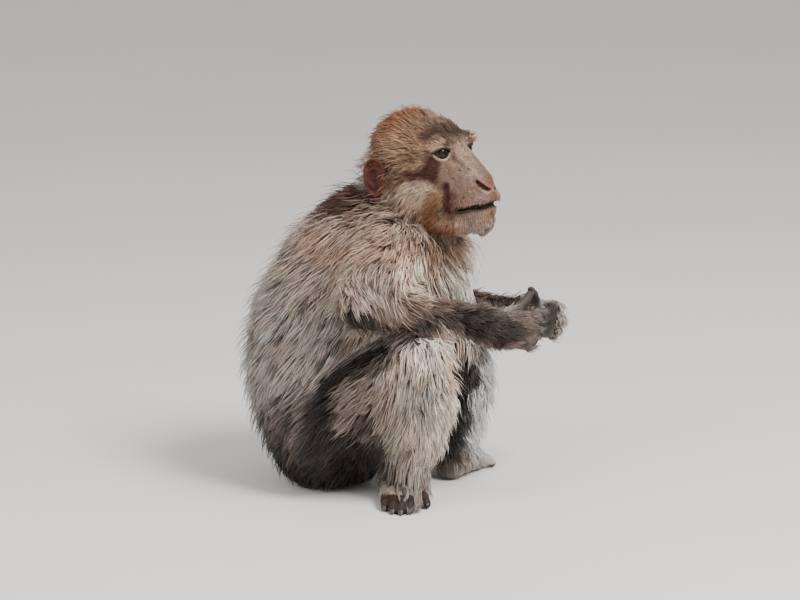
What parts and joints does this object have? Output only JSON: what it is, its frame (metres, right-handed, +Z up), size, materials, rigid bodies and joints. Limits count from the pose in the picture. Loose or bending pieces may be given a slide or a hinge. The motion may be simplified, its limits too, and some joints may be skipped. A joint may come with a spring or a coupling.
{
  "type": "barbary macaque",
  "caption": "Life-size tailless macaque sitting upright with drawn-up knees, hands held before its chest and head turned to its right, covered in a long shaggy coat.",
  "frame": {"origin": "on the floor, under the middle of the seat", "axes": "+Z up, -Y the way the animal's body faces, +X to the animal's left"},
  "size_m": [0.2852, 0.3489, 0.4217],
  "materials": {
    "coat": "long shaggy fur, pale grey-fawn with dark streaks",
    "coat_crown": "short dense fur, red-brown on the crown and pale on the cheeks, bare pinkish face",
    "coat_limb": "long fur, grey-fawn outside and darker inside",
    "hand_skin": "bare dark skin, matte",
    "foot_skin": "bare skin under short pale fur, matte",
    "ear_skin": "bare red-brown skin, matte",
    "eye": "wet, very dark brown"
  },
  "bodies": {
    "root": {"head": "coat_crown", "neck": "coat", "trunk": "coat", "ear_left": "ear_skin", "ear_right": "ear_skin", "eye_left": "eye", "eye_right": "eye", "upper_arm_left": "coat_limb", "upper_arm_right": "coat_limb", "forearm_left": "coat_limb", "forearm_right": "coat_limb", "hand_left": "hand_skin", "hand_right": "hand_skin", "thigh_left": "coat_limb", "thigh_right": "coat_limb", "shin_left": "coat_limb", "shin_right": "coat_limb", "foot_left": "foot_skin", "foot_right": "foot_skin"}
  },
  "joints": []
}
